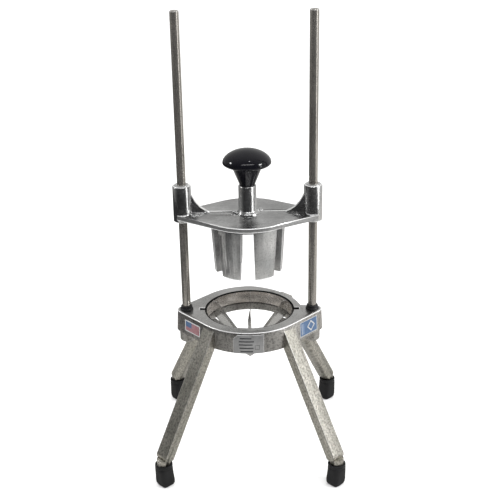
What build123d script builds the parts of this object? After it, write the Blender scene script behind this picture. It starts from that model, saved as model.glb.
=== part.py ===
from build123d import *
import math
import os

# Table-top vegetable dicer. Millimetres, +Z up. The origin is on the table, under the centre of
# the blade ring. The operator stands on the -Y side and the two guide rods stand on the X axis.

os.makedirs("parts", exist_ok=True)

# Driving dimensions: frame
deck = 169.0                 # top face of the cast frame above the table
skirt_depth = 23.6           # height of the frame's outer wall
deck_radius = 62.6           # outside of the ring part of the frame
bore_radius = 50.3           # machined seat for the blade ring
seat_depth = 15.5            # depth of the blade ring's seat
lip_radius = 47.6            # opening under the seat
rod_spacing = 141.5
rod_diameter = 9.525
rod_top = 500.5
boss_radius = 10.4           # rounded ends of the frame around the rods
boss_depth = 38.5
rod_floor = 4.0              # metal left under a rod's foot
leg_head = 36.5              # leg axis at deck height, along X and along Y
foot_reach = 94.6            # leg axis at the boot's mouth, along X and along Y
boot_mouth = 27.4            # top of a boot above the table
leg_width = 16.5
leg_thickness = 14.5
draft = 3.0                  # degrees of draft on the cast walls

# Driving dimensions: blades
section_count = 6
blade_thickness = 1.0
blade_slope = 45.9           # degrees from level, down towards the centre
blade_start = 44.2           # radius where a cutting edge reaches the top of the ring
blade_height = 15.5          # at the centre, measured vertically
blade_root = 19.5            # depth of a blade's lower edge below the top of the frame, at the wall
pin_radius = 2.0
pin_point = 3.0              # depth of the pin's point below the top of the frame
band_thickness = 1.2
band_clearance = 1.0         # radial gap between the band and its seat
band_drop = 0.8              # top of the band below the top of the frame

# Driving dimensions: pusher, shown at its stored height
pusher_plate = 109.6         # underside of the plate above the deck
plate_thickness = 5.2
plate_radius = 50.5
sleeve_radius = 10.0
sleeve_bottom = 106.5
sleeve_top = 147.0
post_radius = 9.75
post_top = 146.5
rib_top = 116.8              # above the top of the frame
screw_seat = 116.0
screw_spot = (13.6, 3.4)
finger_bottom = 49.5
finger_top_radius = 40.7
finger_end_radius = 37.3
slot_top = 12.6
slot_end = 15.0
disc_thickness = 4.6
knob_radius = 26.25
knob_equator = 172.0
knob_rise = 14.6
knob_belly = 4.3
bolt_radius = 3.97
bolt_head_bottom = 100.0
bolt_top = 166.0
knob_bore_radius = 6.0
insert_top = 167.0
running_clearance = 0.055    # radial, between a bushing and its rod
bushing_radius = 6.35
bumper_height = 4.8
label_thickness = 0.25

rod_x = rod_spacing / 2
rod_radius = rod_diameter / 2
sides = (("left", -1), ("right", 1))
corners = (("front_left", -1, -1), ("front_right", 1, -1), ("rear_left", -1, 1), ("rear_right", 1, 1))


def save(solid, name):
    """Write one named piece."""
    export_step(solid, f"parts/{name}.step")


def tangent_outline(middle_radius, end_radius):
    """Plan outline: a middle circle joined to two end circles by their common tangents."""
    lean = math.acos((middle_radius - end_radius) / rod_x)
    near = (middle_radius * math.cos(lean), middle_radius * math.sin(lean))
    far = (rod_x + end_radius * math.cos(lean), end_radius * math.sin(lean))
    upper = [far, near, (-near[0], near[1]), (-far[0], far[1])]
    lower = [(x, -y) for x, y in reversed(upper)]
    outline = Polygon(*upper, *lower, align=None) + Circle(middle_radius)
    for _, side in sides:
        outline += Pos(side * rod_x, 0) * Circle(end_radius)
    return outline


def slab(outline, low, high):
    """Outline in plan raised between two heights above the table."""
    return Pos(0, 0, low) * extrude(outline, high - low, dir=(0, 0, 1))


def column(radius, low, high, x=0.0, y=0.0):
    """Upright cylinder between two heights above the table."""
    return Pos(x, y, low) * Cylinder(radius, high - low, align=(Align.CENTER, Align.CENTER, Align.MIN))


def tube(outer, inner, low, high, x=0.0, y=0.0):
    return column(outer, low, high, x, y) - column(inner, low - 1, high + 1, x, y)


def frame_casting():
    """Ring, rod bosses and skirt of the cast base, open underneath between ring and bosses."""
    skirt_bottom = deck - skirt_depth
    spread = skirt_depth * math.tan(math.radians(draft))
    outline = tangent_outline(deck_radius + spread, boss_radius + spread)
    body = Pos(0, 0, skirt_bottom) * extrude(outline, skirt_depth, taper=draft)
    relief_radius = 75.0
    relief_centre = (-14.2, -10.7)
    neck_half_width = 9.0
    relief = Pos(45, 40) * Rectangle(90, 80)
    relief -= Pos(*relief_centre) * Circle(relief_radius)
    relief -= Pos(rod_x, 0) * Circle(boss_radius)
    relief -= Pos(50, 0) * Rectangle(2 * (rod_x - 50), 2 * neck_half_width)
    body -= slab(relief, skirt_bottom - 1, deck + 1)
    wall = 4.5
    web = 6.0
    ring_wall_radius = 57.5
    pocket = tangent_outline(deck_radius - wall, boss_radius - wall) - Circle(ring_wall_radius)
    pocket -= relief
    body -= slab(pocket, skirt_bottom - 1, deck - web)
    for _, side in sides:
        boss = column(boss_radius - 1.6, deck - boss_depth, deck - web, side * rod_x)
        boss = fillet(boss.faces().sort_by(Axis.Z)[0].edges(), 3.5)
        body += boss
        body -= column(rod_radius, deck - boss_depth + rod_floor, deck + 1, side * rod_x)
    body -= column(bore_radius, deck - seat_depth, deck + 1)
    body -= column(lip_radius, skirt_bottom - 1, deck)
    notch_width = 5.5
    notch_reach = 56.0
    notch_depth = 9.0
    for _, side in sides:
        reach = notch_reach - lip_radius
        middle = Pos(side * (lip_radius + reach / 2), 0, deck - notch_depth / 2)
        body -= middle * Box(reach, notch_width, notch_depth)
    return body - rod_screws(0.05) - ring_screws(0.05)


def leg_plane(side_x, side_y):
    """Plane square to a leg's axis at deck height: local X runs round the ring, local Y faces out."""
    head = Vector(side_x * leg_head, side_y * leg_head, deck)
    foot = Vector(side_x * foot_reach, side_y * foot_reach, boot_mouth)
    around = Vector(-side_y, side_x, 0) * (side_x * side_y)
    return Plane(origin=head, x_dir=around, z_dir=head - foot), (head - foot).length


def leg(side_x, side_y, frame):
    """Square-edged cast leg with a rounded inner side, ending in a round stub for its boot."""
    plane, length = leg_plane(side_x, side_y)
    section = Rectangle(leg_width, leg_thickness)
    outward = plane.to_local_coords(Vector(side_x * foot_reach, side_y * foot_reach, deck)).Y
    by_depth = section.vertices().sort_by(Axis.Y)
    inner_vertices = by_depth[:2] if outward > 0 else by_depth[2:]
    inner_round = 5.0
    section = fillet(inner_vertices, inner_round)
    prism = plane * extrude(section, length + 30, both=True)
    ankle = boot_mouth + 4.0     # end of the square leg, above its boot
    toe_round = 4.5
    block_height = deck - 1.5 - ankle
    keep = Pos(0, 0, ankle + block_height / 2) * Box(300, 300, block_height)
    prism = prism & keep
    toe_edges = prism.faces().sort_by(Axis.Z)[0].edges()
    toe = max(toe_edges, key=lambda edge: abs(edge.center().X) + abs(edge.center().Y))
    prism = fillet(toe, toe_round)
    prism -= column(bore_radius + 3.0, deck - skirt_depth, deck + 1)
    stub_radius = 7.4
    stub_bottom = 7.0
    prism += column(stub_radius, stub_bottom, ankle + 2, side_x * foot_reach, side_y * foot_reach)
    prism = prism - frame
    return max(prism.solids(), key=lambda solid: solid.volume)


def boot(side_x, side_y):
    """Rubber boot: a round mouth on the stub, flaring to a rounded square that faces the leg."""
    mouth_radius = 9.8
    sole_side = 17.2
    sole_shift = 1.1
    belly = 6.0
    shift = foot_reach - sole_shift
    turn = Rot(0, 0, 45)
    square = RectangleRounded(sole_side, sole_side, 4.0)
    base = Pos(side_x * shift, side_y * shift, belly) * turn * square
    mouth = Pos(side_x * foot_reach, side_y * foot_reach, boot_mouth) * turn * RectangleRounded(
        2 * mouth_radius, 2 * mouth_radius, mouth_radius - 0.05)
    upper = loft([base, mouth])
    contact_side = sole_side - 4.4
    edge_side = sole_side - 1.4
    lower_square = RectangleRounded(contact_side, contact_side, 3.0)
    middle_square = RectangleRounded(edge_side, edge_side, 4.0)
    sole = Pos(side_x * shift, side_y * shift, 0) * turn * lower_square
    edge = Pos(side_x * shift, side_y * shift, 2.0) * turn * middle_square
    lower = loft([sole, edge]) + loft([edge, base])
    return upper + lower - column(7.5, 6.9, boot_mouth + 1, side_x * foot_reach, side_y * foot_reach)


def rod(side):
    """Guide rod, seated in its boss, with a small chamfer on top."""
    chamfer_length = 0.8
    solid = column(rod_radius, deck - boss_depth + rod_floor, rod_top, side * rod_x)
    return chamfer(solid.faces().sort_by(Axis.Z)[-1].edges(), chamfer_length)


def bumper(side):
    """Rubber stop ring at the foot of a rod, wider at its base."""
    foot_radius = 7.4
    neck_radius = 6.2
    ring = Pos(side * rod_x, 0, deck) * Cone(
        foot_radius, neck_radius, bumper_height, align=(Align.CENTER, Align.CENTER, Align.MIN))
    return ring - column(rod_radius, deck - 1, deck + bumper_height + 1, side * rod_x)


def rod_screws(grow=0.0):
    """Set screws through the rear of each boss against its rod."""
    radius = 2.5 + grow
    length = 5.2 + grow
    screws = []
    for _, side in sides:
        screw = Pos(side * rod_x, rod_radius, deck - 15) * Rot(-90, 0, 0) * Cylinder(
            radius, length, align=(Align.CENTER, Align.CENTER, Align.MIN))
        if grow == 0.0:
            socket = Pos(side * rod_x, rod_radius + length, deck - 15) * Rot(-90, 0, 0) * extrude(
                RegularPolygon(1.3, 6), -2.0)
            screw -= socket
        screws.append(screw)
    return Compound(children=screws) if grow == 0.0 else screws[0] + screws[1]


def ring_screws(grow=0.0):
    """Set screws through the rear wall that hold the blade ring down in its seat."""
    radius = 2.0 + grow
    length = 10.6
    height = deck - 9.0
    screws = []
    for angle in (70, 110):
        place = Rot(0, 0, angle) * Pos(bore_radius - band_clearance + 0.02, 0, height) * Rot(0, 90, 0)
        screw = place * Cylinder(radius, length, align=(Align.CENTER, Align.CENTER, Align.MIN))
        if grow == 0.0:
            screw -= place * Pos(0, 0, length) * extrude(RegularPolygon(1.1, 6), -2.0)
        screws.append(screw)
    return Compound(children=screws) if grow == 0.0 else screws[0] + screws[1]


def blade_band():
    """Polished band that carries the blades, with a tab each side for the frame's notches."""
    outer = bore_radius - band_clearance
    band = tube(outer, outer - band_thickness, deck - seat_depth, deck - band_drop)
    tab_length = 6.0
    tab_width = 2.0
    tab_height = 3.6
    tab_top = 5.0
    for _, side in sides:
        reach = side * (outer + tab_length / 2 - band_thickness / 2)
        band += Pos(reach, 0, deck - tab_top - tab_height / 2) * Box(tab_length, tab_width, tab_height)
    return band


def blade(angle):
    """Strip blade standing on edge, sharpened on top, sloping down from the band to the centre pin."""
    half = blade_thickness / 2
    bevel = 4.0
    depth = 30.0                 # deep enough for the side view to trim
    section = Polygon((0, 0), (-half, -bevel), (-half, -depth), (half, -depth), (half, -bevel), align=None)
    edge_start = Vector(blade_start, 0, deck)
    down_slope = Vector(-math.cos(math.radians(blade_slope)), 0, -math.sin(math.radians(blade_slope)))
    plane = Plane(origin=edge_start, x_dir=(0, 1, 0), z_dir=down_slope)
    if plane.y_dir.Z < 0:
        plane = Plane(origin=edge_start, x_dir=(0, -1, 0), z_dir=down_slope)
    strip = plane * extrude(section, 90, both=True)
    band_inner = bore_radius - band_clearance - band_thickness
    flat_top = deck - band_drop - 0.4
    ledge = deck - seat_depth + 0.2
    inside_lip = lip_radius - 0.3
    outside = bore_radius + 10
    drop = blade_start * math.tan(math.radians(blade_slope)) + blade_height
    side_view = Polygon(
        (0, deck - drop), (inside_lip, deck - blade_root), (inside_lip, ledge), (outside, ledge),
        (outside, flat_top), (0, flat_top), align=None)
    blank = extrude(Plane.XZ * side_view, blade_thickness, both=True)
    return Rot(0, 0, angle) * (strip & blank & tube(band_inner, pin_radius, deck - drop - 1, deck))


def centre_pin():
    """Pointed pin on the centre line that the inner ends of the blades are fixed to."""
    drop = blade_start * math.tan(math.radians(blade_slope)) + blade_height
    shoulder = 14.4
    profile = Polygon(
        (0, -pin_point), (pin_radius, -shoulder), (pin_radius, 2 - drop), (0, -drop), align=None)
    return Pos(0, 0, deck) * revolve(Plane.XZ * profile, Axis.Z)


def pusher_head():
    """Cast head: eye-shaped plate, rod sleeves, rib with gussets and the post under the knob."""
    low = deck + pusher_plate
    high = low + plate_thickness
    root = high - 1
    crest = deck + rib_top
    head = slab(tangent_outline(plate_radius, sleeve_radius), low, high)
    half_rib = [(9.5, root), (9.5, high), (5.0, high + 0.5), (2.6, high + 1.2), (1.3, crest)]  # (Y, Z)
    rib = Polygon(*half_rib, *[(-y, z) for y, z in reversed(half_rib)], align=None)
    head += Pos(-rod_x, 0, 0) * extrude(Plane.YZ * rib, rod_spacing, dir=(1, 0, 0))
    gusset_half = 2.6
    gusset_rise = ((41.5, -0.3), (46.5, 1.9), (51.5, 5.4), (56.5, 11.0), (60.5, 18.7))  # X, above the crest
    for _, side in sides:
        curve = [(side * x, crest + rise) for x, rise in gusset_rise]
        sleeve_side = side * (rod_x - sleeve_radius / 2)
        foot = [(sleeve_side, root), (curve[0][0], root)]
        gusset = Polygon(*foot, *curve, (sleeve_side, curve[-1][1]), align=None)
        head += extrude(Plane.XZ * gusset, gusset_half, both=True)
        sleeve = column(sleeve_radius, deck + sleeve_bottom, deck + sleeve_top, side * rod_x)
        head += chamfer(sleeve.faces().sort_by(Axis.Z)[-1].edges(), 1.0)
    flare = 3.4
    post = column(post_radius, low, deck + post_top)
    head += chamfer(post.faces().sort_by(Axis.Z)[-1].edges(), 0.7)
    head += column(post_radius + flare, low, high + 0.6)
    head += Pos(0, 0, high + 0.6) * Cone(
        post_radius + flare, post_radius - 0.2, flare + 0.8, align=(Align.CENTER, Align.CENTER, Align.MIN))
    screw_boss = 4.6
    for side in (-1, 1):
        head += column(screw_boss, low, deck + screw_seat, side * screw_spot[0], side * screw_spot[1])
    for _, side in sides:
        head -= column(bushing_radius, deck + sleeve_bottom - 1, deck + sleeve_top + 1, side * rod_x)
    head -= column(bolt_radius + 0.2, low - 1, deck + post_top + 1)
    return head - block_screws(0.05)


def bushing(side):
    """Flanged sleeve bushing, a running fit on its rod."""
    inner = rod_radius + running_clearance
    body = tube(bushing_radius, inner, deck + sleeve_bottom, deck + sleeve_top, side * rod_x)
    flange = tube(7.6, inner, deck + sleeve_top, deck + sleeve_top + 0.9, side * rod_x)
    return body + flange


def push_block():
    """Push block: a disc with six tapered fingers, parted by slots that clear the blades."""
    top = deck + pusher_plate
    disc = column(finger_top_radius + 0.9, top - disc_thickness, top)
    root = top - disc_thickness
    length = root - (deck + finger_bottom)
    fingers = Pos(0, 0, deck + finger_bottom) * Cone(
        finger_end_radius, finger_top_radius, length, align=(Align.CENTER, Align.CENTER, Align.MIN))
    fingers = chamfer(fingers.faces().sort_by(Axis.Z)[0].edges(), 1.2)
    core_end = 13.0
    core_top = 9.0
    fingers -= Pos(0, 0, deck + finger_bottom - 1) * Cone(
        core_end, core_top, length + 1, align=(Align.CENTER, Align.CENTER, Align.MIN))
    slot = Polygon(
        (-slot_end / 2, deck + finger_bottom - 1), (slot_end / 2, deck + finger_bottom - 1),
        (slot_top / 2, root), (-slot_top / 2, root), align=None)
    for turn in range(3):
        fingers -= Rot(0, 0, 60 * turn) * extrude(Plane.XZ * slot, 60, both=True)
    block = disc + fingers
    block -= column(bolt_radius + 0.2, root - 1, top + 1)
    return block - block_screws(0.05)


def centre_bolt():
    """Cap screw from under the push block, up through the post into the knob's insert."""
    head = column(6.4, deck + bolt_head_bottom, deck + pusher_plate - disc_thickness)
    head -= Pos(0, 0, deck + bolt_head_bottom - 0.1) * extrude(RegularPolygon(3.2, 6), 3.1)
    return head + column(bolt_radius, deck + pusher_plate - disc_thickness, deck + bolt_top)


def block_screws(grow=0.0):
    """Round-head screws that key the push block to the head, each side of the post."""
    seat = deck + screw_seat
    head_radius = 3.5
    head_height = 2.3
    screws = []
    for side in (-1, 1):
        x, y = side * screw_spot[0], side * screw_spot[1]
        shank = column(1.9 + grow, deck + pusher_plate - 3.6, seat + grow, x, y)
        if grow == 0.0:
            head = column(head_radius, seat, seat + head_height, x, y)
            head = fillet(head.faces().sort_by(Axis.Z)[-1].edges(), 1.3)
            head -= Pos(x, y, seat + head_height) * Box(8, 0.9, 1.8)
        else:
            head = column(head_radius + grow, seat, seat + 4 * head_height, x, y)
        screws.append(shank + head)
    return Compound(children=screws) if grow == 0.0 else screws[0] + screws[1]


def knob():
    """Mushroom knob: domed cap with a shallow underside on a tapered stem."""
    base = deck + post_top + 0.2
    equator = deck + knob_equator
    under = equator - knob_belly
    neck = 16.6
    waist = (8.45, deck + 147.5)
    foot = (8.3, base)
    bore = knob_bore_radius
    bore_top = deck + insert_top
    turns = [math.radians(step) for step in (0, 15, 32, 50, 70)]
    dome = [(knob_radius * math.cos(a) ** 1.08, equator + knob_rise * math.sin(a) ** 1.08) for a in turns]
    belly = [(neck + (knob_radius - neck) * math.sin(a), equator - knob_belly * math.cos(a)) for a in turns]
    top = Spline(*dome, (0, equator + knob_rise), tangents=((0, 1), (-1, 0)))
    low = Spline(*belly, dome[0], tangents=((1, 0), (0, 1)))
    inside = [(bore, base), (bore, bore_top), (0, bore_top)]
    stem = Polyline((neck, under), waist, foot, *inside, (0, equator + knob_rise))
    return revolve(Plane.XZ * make_face([top, low, stem]), Axis.Z)


def knob_insert():
    """Threaded brass insert moulded into the knob."""
    base = deck + post_top + 0.2
    return column(knob_bore_radius, base, deck + insert_top) - column(bolt_radius, base - 1, deck + bolt_top)


def curved_patch(radius, thickness, width, low, high, angle):
    """Thin plate that follows the ring's wall."""
    ring = tube(radius + thickness, radius, low, high)
    half = math.degrees(width / 2 / radius)
    cutter = Polygon(
        (0, 0), (120 * math.cos(math.radians(angle - half)), 120 * math.sin(math.radians(angle - half))),
        (120 * math.cos(math.radians(angle + half)), 120 * math.sin(math.radians(angle + half))), align=None)
    return ring & slab(cutter, low, high)


def name_plate():
    """Blank metal plate on the front of the ring, one upper corner cut off."""
    width = 33.4
    plate = curved_patch(deck_radius + 1.35, 0.8, width, deck - 23.4, deck - 1.6, 270)
    corner = Pos(-width / 2, 0, deck - 1.6) * Rot(0, 45, 0) * Box(7.5, 200, 7.5)
    return plate - corner


def wall_label(side, along, width, height):
    """Flat label on the straight front wall of the frame, centred a distance along it from the ring."""
    lean = math.acos((deck_radius - boss_radius) / rod_x)
    normal = Vector(side * math.cos(lean), -math.sin(lean), 0)
    across = Vector(side * math.sin(lean), math.cos(lean), 0)
    down = math.radians(draft)
    label_depth = 12.2
    stand_off = 0.1
    centre = normal * (deck_radius + label_depth * math.tan(down) + stand_off) + across * along
    tilt = Vector(normal.X * math.cos(down), normal.Y * math.cos(down), math.sin(down))
    plane = Plane(origin=(centre.X, centre.Y, deck - label_depth), x_dir=across, z_dir=tilt)
    return plane * extrude(Rectangle(width, height), label_thickness)


def build():
    frame = frame_casting()
    save(frame, "frame_casting")
    for name, side_x, side_y in corners:
        save(leg(side_x, side_y, frame), f"leg_{name}")
        save(boot(side_x, side_y), f"boot_{name}")
    for name, side in sides:
        save(rod(side), f"guide_rod_{name}")
        save(bumper(side), f"rod_bumper_{name}")
        save(bushing(side), f"sleeve_bushing_{name}")
    save(wall_label(-1, 24.0, 26.5, 13.3), "wall_label_left")
    save(wall_label(1, 28.3, 29.0, 17.4), "wall_label_right")
    save(rod_screws(), "rod_set_screws")
    save(ring_screws(), "ring_set_screws")
    save(blade_band(), "blade_band")
    for count in range(section_count):
        save(blade(30 + 360 / section_count * count), f"blade_{count + 1}")
    save(centre_pin(), "blade_centre_pin")
    save(pusher_head(), "pusher_head")
    save(push_block(), "push_block")
    save(centre_bolt(), "centre_bolt")
    save(block_screws(), "push_block_screws")
    save(knob(), "knob")
    save(knob_insert(), "knob_insert")
    save(name_plate(), "name_plate")


build()
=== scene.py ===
from math import acos, atan2, cos, hypot, pi, radians, sin
import bmesh
import bpy
from mathutils import Matrix, Vector


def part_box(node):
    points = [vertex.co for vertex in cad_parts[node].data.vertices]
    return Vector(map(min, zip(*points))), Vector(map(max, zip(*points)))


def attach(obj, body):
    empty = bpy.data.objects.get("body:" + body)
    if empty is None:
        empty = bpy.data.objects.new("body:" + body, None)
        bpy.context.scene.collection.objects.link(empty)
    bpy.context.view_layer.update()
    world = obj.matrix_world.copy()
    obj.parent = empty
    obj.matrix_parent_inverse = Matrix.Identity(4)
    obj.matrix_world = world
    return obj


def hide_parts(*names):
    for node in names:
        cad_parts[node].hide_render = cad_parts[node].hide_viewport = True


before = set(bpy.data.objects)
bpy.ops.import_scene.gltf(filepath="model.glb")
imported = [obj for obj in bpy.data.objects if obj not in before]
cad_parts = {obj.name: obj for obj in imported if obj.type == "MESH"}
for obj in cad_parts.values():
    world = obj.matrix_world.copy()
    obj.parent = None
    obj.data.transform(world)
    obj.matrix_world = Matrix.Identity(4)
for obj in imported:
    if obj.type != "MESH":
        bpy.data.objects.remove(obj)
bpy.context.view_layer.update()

mm = 0.001
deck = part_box("frame_casting")[1].z  # top face of the cast frame
rodCentre = (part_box("guide_rod_right")[0].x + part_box("guide_rod_right")[1].x) / 2
rodRadius = (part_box("guide_rod_right")[1].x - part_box("guide_rod_right")[0].x) / 2
sides = (("Left", "left", -1), ("Right", "right", 1))
corners = (("FrontLeft", "front_left", -1, -1), ("FrontRight", "front_right", 1, -1),
           ("RearLeft", "rear_left", -1, 1), ("RearRight", "rear_right", 1, 1))
print("frame loaded")

# Camera and studio

cameraView = {
    "place": (0.0243, -1.0148, 0.6494),
    "yaw": -1.272,  # degrees, towards the left
    "pitch": 21.965,  # degrees down
    "roll": -0.981,
    "lens": 71.54,  # millimetres, as is the sensor
    "sensor": 36,
}


def addCamera(view):
    yaw, pitch, roll = (radians(view[key]) for key in ("yaw", "pitch", "roll"))
    forward = Vector((sin(yaw) * cos(pitch), cos(yaw) * cos(pitch), -sin(pitch)))
    level = Vector((cos(yaw), -sin(yaw), 0))
    upright = level.cross(forward)
    right = cos(roll) * level + sin(roll) * upright
    up = -sin(roll) * level + cos(roll) * upright
    data = bpy.data.cameras.new("camera")
    data.lens = view["lens"]
    data.sensor_width = view["sensor"]
    camera = bpy.data.objects.new("camera", data)
    turn = Matrix((right, up, -forward)).transposed()
    camera.matrix_world = Matrix.Translation(view["place"]) @ turn.to_4x4()
    bpy.context.scene.collection.objects.link(camera)
    bpy.context.scene.camera = camera


studio = {
    "floorSize": 14.0,
    "floorColour": (0.93, 0.93, 0.93, 1),
    "floorInMetal": (0.46, 0.455, 0.44, 1),  # how pale the floor is in reflections
    "floorRoughness": 0.9,
    "fill": 3.0,  # even daylight that polished metal doesn't mirror
    "fillSpread": 120,  # degrees
    "clothColour": (0.03, 0.03, 0.032, 1),
    "clothRoughness": 1.0,
    "clothHeight": 0.002,
    "cloths": {  # left, right, near, far
        "frontCloth": (-6.0, 6.0, -6.0, -0.42),
        "leftCloth": (-6.0, -0.36, -0.42, 6.0),
    },
    "lights": {
        # place, target, width, height, watts
        "rightStrip": ((1.4, -0.55, 0.55), (0, 0, 0.28), 0.26, 1.3, 4.4),
        "leftPanel": ((-1.3, 0.09, 1.12), (0, 0, 0.34), 0.22, 0.2, 5),
        "rightPanel": ((1.27, -0.39, 1.07), (0, 0, 0.34), 0.38, 0.2, 8),
        "topSpot": ((0.23, -0.24, 1.81), (0, 0, 0.34), 0.1, 0.1, 0.7),
        "rimStrip": ((0.1, -1.02, 1.56), (0, 0, 0.25), 1.5, 0.10, 5.5),
    },
    "surroundings": {
        "camera": (1.0, 1.0, 1.0, 1),
        "front": (0.05, 0.05, 0.052, 1),
        "back": (0.64, 0.64, 0.63, 1),
        "frontEnd": -0.75,  # where the front tone ends, from -1 in front to 1 behind
        "backStart": 0.45,
        "left": 0.55,  # strength on each side
        "right": 1.25,
    },
}


def plainMaterial(name, colour, roughness):
    material = bpy.data.materials.new(name)
    material.use_nodes = True
    shader = material.node_tree.nodes["Principled BSDF"]
    shader.inputs["Base Color"].default_value = colour
    shader.inputs["Roughness"].default_value = roughness
    shader.inputs["Specular IOR Level"].default_value = 0.0
    return material


def studioSheet(name, left, right, near, far, height, material):
    bm = bmesh.new()
    bmesh.ops.create_grid(bm, x_segments=2, y_segments=2, size=0.5)
    bmesh.ops.scale(bm, verts=bm.verts, vec=(right - left, far - near, 1))
    bmesh.ops.translate(bm, verts=bm.verts, vec=((left + right) / 2, (near + far) / 2, height))
    mesh = bpy.data.meshes.new(name)
    bm.to_mesh(mesh)
    bm.free()
    mesh.materials.append(material)
    sheet = bpy.data.objects.new(name, mesh)
    bpy.context.scene.collection.objects.link(sheet)
    return sheet


def addStudio(kit):
    paper = plainMaterial("floorPaper", kit["floorColour"], kit["floorRoughness"])
    nodes, links = paper.node_tree.nodes, paper.node_tree.links
    dim = nodes.new("ShaderNodeBsdfDiffuse")
    dim.inputs["Color"].default_value = kit["floorInMetal"]
    rays = nodes.new("ShaderNodeLightPath")
    either = nodes.new("ShaderNodeMixShader")
    links.new(rays.outputs["Is Glossy Ray"], either.inputs["Fac"])
    links.new(nodes["Principled BSDF"].outputs[0], either.inputs[1])
    links.new(dim.outputs[0], either.inputs[2])
    links.new(either.outputs[0], nodes["Material Output"].inputs["Surface"])
    half = kit["floorSize"] / 2
    studioSheet("floor", -half, half, -half, half, 0, paper)
    cloth = plainMaterial("darkCloth", kit["clothColour"], kit["clothRoughness"])
    for name, limits in kit["cloths"].items():  # dark cloths that only show in the polished metal
        sheet = studioSheet(name, *limits, kit["clothHeight"], cloth)
        sheet.visible_camera = False
        sheet.visible_diffuse = False
        sheet.visible_shadow = False
    daylight = bpy.data.lights.new("daylight", "SUN")
    daylight.energy = kit["fill"]
    daylight.angle = radians(kit["fillSpread"])
    sky = bpy.data.objects.new("daylight", daylight)
    sky.visible_glossy = False
    bpy.context.scene.collection.objects.link(sky)
    for name, (place, target, width, height, watts) in kit["lights"].items():
        lamp = bpy.data.lights.new(name, "AREA")
        lamp.shape = "RECTANGLE"
        lamp.size = width
        lamp.size_y = height
        lamp.energy = watts
        holder = bpy.data.objects.new(name, lamp)
        holder.location = place
        holder.rotation_euler = (Vector(target) - Vector(place)).to_track_quat("-Z", "Y").to_euler()
        bpy.context.scene.collection.objects.link(holder)
    addSurroundings(kit["surroundings"])
    bpy.context.scene.view_settings.view_transform = "Standard"


def addSurroundings(tones):
    # a room that is dark on the operator's side, pale behind the object and paler on the right
    world = bpy.data.worlds.new("studioRoom")
    world.use_nodes = True
    bpy.context.scene.world = world
    nodes, links = world.node_tree.nodes, world.node_tree.links
    room = nodes["Background"]
    direction = nodes.new("ShaderNodeTexCoord")
    split = nodes.new("ShaderNodeSeparateXYZ")
    links.new(direction.outputs["Generated"], split.inputs[0])
    depth = nodes.new("ShaderNodeMapRange")
    depth.interpolation_type = "SMOOTHSTEP"
    depth.inputs["From Min"].default_value = tones["frontEnd"]
    depth.inputs["From Max"].default_value = tones["backStart"]
    links.new(split.outputs["Y"], depth.inputs["Value"])
    shade = nodes.new("ShaderNodeMix")
    shade.data_type = "RGBA"
    shade.inputs["A"].default_value = tones["front"]
    shade.inputs["B"].default_value = tones["back"]
    links.new(depth.outputs["Result"], shade.inputs["Factor"])
    links.new(shade.outputs["Result"], room.inputs["Color"])
    across = nodes.new("ShaderNodeMapRange")
    across.inputs["From Min"].default_value = -1
    across.inputs["From Max"].default_value = 1
    across.inputs["To Min"].default_value = tones["left"]
    across.inputs["To Max"].default_value = tones["right"]
    links.new(split.outputs["X"], across.inputs["Value"])
    links.new(across.outputs["Result"], room.inputs["Strength"])
    pale = nodes.new("ShaderNodeBackground")
    pale.inputs["Color"].default_value = tones["camera"]
    rays = nodes.new("ShaderNodeLightPath")
    either = nodes.new("ShaderNodeMixShader")
    links.new(rays.outputs["Is Camera Ray"], either.inputs["Fac"])
    links.new(room.outputs[0], either.inputs[1])
    links.new(pale.outputs[0], either.inputs[2])
    links.new(either.outputs[0], nodes["World Output"].inputs["Surface"])


addCamera(cameraView)
addStudio(studio)
print("camera and studio set")

# Finishes


def startFinish(name):
    material = bpy.data.materials.new(name)
    material.use_nodes = True
    return material, material.node_tree.nodes, material.node_tree.links, material.node_tree.nodes["Principled BSDF"]


def coordinates(nodes, links, look):
    # stretched coordinates for the grain, plain ones for stains and pits
    if "map" in look:
        source = nodes.new("ShaderNodeUVMap")
        source.uv_map = look["map"]
        plain = source.outputs["UV"]
    else:
        source = nodes.new("ShaderNodeTexCoord")
        plain = source.outputs["Object"]
    stretch = nodes.new("ShaderNodeMapping")
    stretch.inputs["Scale"].default_value = look["grainStretch"]
    links.new(plain, stretch.inputs["Vector"])
    return plain, stretch.outputs["Vector"]


def noise(nodes, links, vector, scale, detail=3.0, roughness=0.55):
    node = nodes.new("ShaderNodeTexNoise")
    node.inputs["Scale"].default_value = scale
    node.inputs["Detail"].default_value = detail
    node.inputs["Roughness"].default_value = roughness
    links.new(vector, node.inputs["Vector"])
    return node.outputs["Fac"]


def between(nodes, links, value, low, high, fromLow=0.3, fromHigh=0.7):
    node = nodes.new("ShaderNodeMapRange")
    node.inputs["From Min"].default_value = fromLow
    node.inputs["From Max"].default_value = fromHigh
    node.inputs["To Min"].default_value = low
    node.inputs["To Max"].default_value = high
    links.new(value, node.inputs["Value"])
    return node.outputs["Result"]


def blendColour(nodes, links, factor, first, second):
    node = nodes.new("ShaderNodeMix")
    node.data_type = "RGBA"
    links.new(factor, node.inputs["Factor"])
    for socket, value in (("A", first), ("B", second)):
        if isinstance(value, tuple):
            node.inputs[socket].default_value = value
        else:
            links.new(value, node.inputs[socket])
    return node.outputs["Result"]


def combine(nodes, links, first, second, operation="ADD"):
    node = nodes.new("ShaderNodeMath")
    node.operation = operation
    for index, value in enumerate((first, second)):
        if isinstance(value, (int, float)):
            node.inputs[index].default_value = value
        else:
            links.new(value, node.inputs[index])
    return node.outputs[0]


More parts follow.
